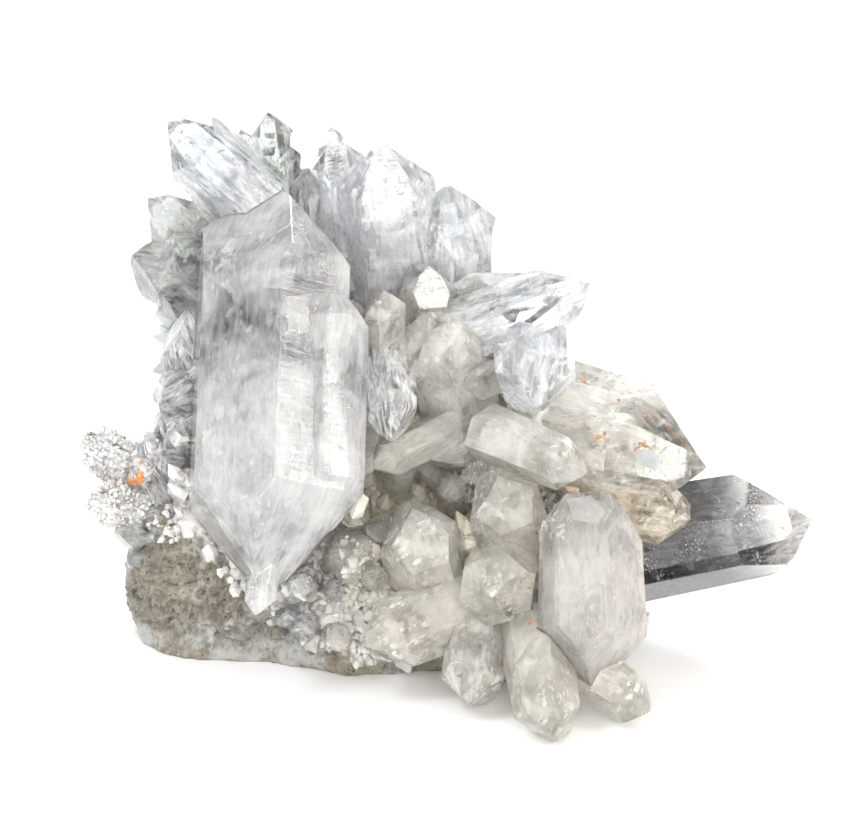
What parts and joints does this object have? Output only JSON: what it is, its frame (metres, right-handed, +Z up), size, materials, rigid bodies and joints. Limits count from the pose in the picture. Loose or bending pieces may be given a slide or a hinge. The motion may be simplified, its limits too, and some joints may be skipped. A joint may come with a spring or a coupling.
{
  "type": "quartz crystal cluster",
  "caption": "Cluster of clear six-sided quartz points standing on a lump of drusy grey-brown rock with a flat base to rest on.",
  "frame": {"origin": "middle of the object's box at the level of the flat base", "axes": "+X to the viewer's right along the cluster's longest side, -Y towards the front, +Z up"},
  "size_m": [0.1482, 0.1104, 0.1077],
  "materials": {
    "great_front_crystal": "milky semi-clear quartz with flat glossy faces",
    "top_crystals": "cool clear quartz",
    "upper_crystals": "cool clear quartz with white veils",
    "middle_crystals": "clear to warm grey quartz",
    "rusty_crystals": "clear quartz with rust-coloured iron spots",
    "long_clear_point": "water-clear quartz, dark inside",
    "front_right_crystal": "pinkish-grey semi-clear quartz",
    "lower_crystals": "warm greyish quartz",
    "foot_crystals": "warm greyish quartz",
    "left_crystals": "greenish-grey quartz",
    "left_middle_crystals": "bluish-white quartz",
    "left_edge_points": "bluish-grey quartz",
    "drusy_rock": "sandy grey-brown rock with small glassy crystals"
  },
  "bodies": {
    "root": {"great_front_crystal": "great_front_crystal", "top_crystals": "top_crystals", "upper_crystals": "upper_crystals", "middle_crystals": "middle_crystals", "rusty_crystals": "rusty_crystals", "long_clear_point": "long_clear_point", "front_right_crystal": "front_right_crystal", "lower_crystals": "lower_crystals", "foot_crystals": "foot_crystals", "left_crystals": "left_crystals", "left_middle_crystals": "left_middle_crystals", "left_edge_points": "left_edge_points", "drusy_rock": "drusy_rock"}
  },
  "joints": []
}
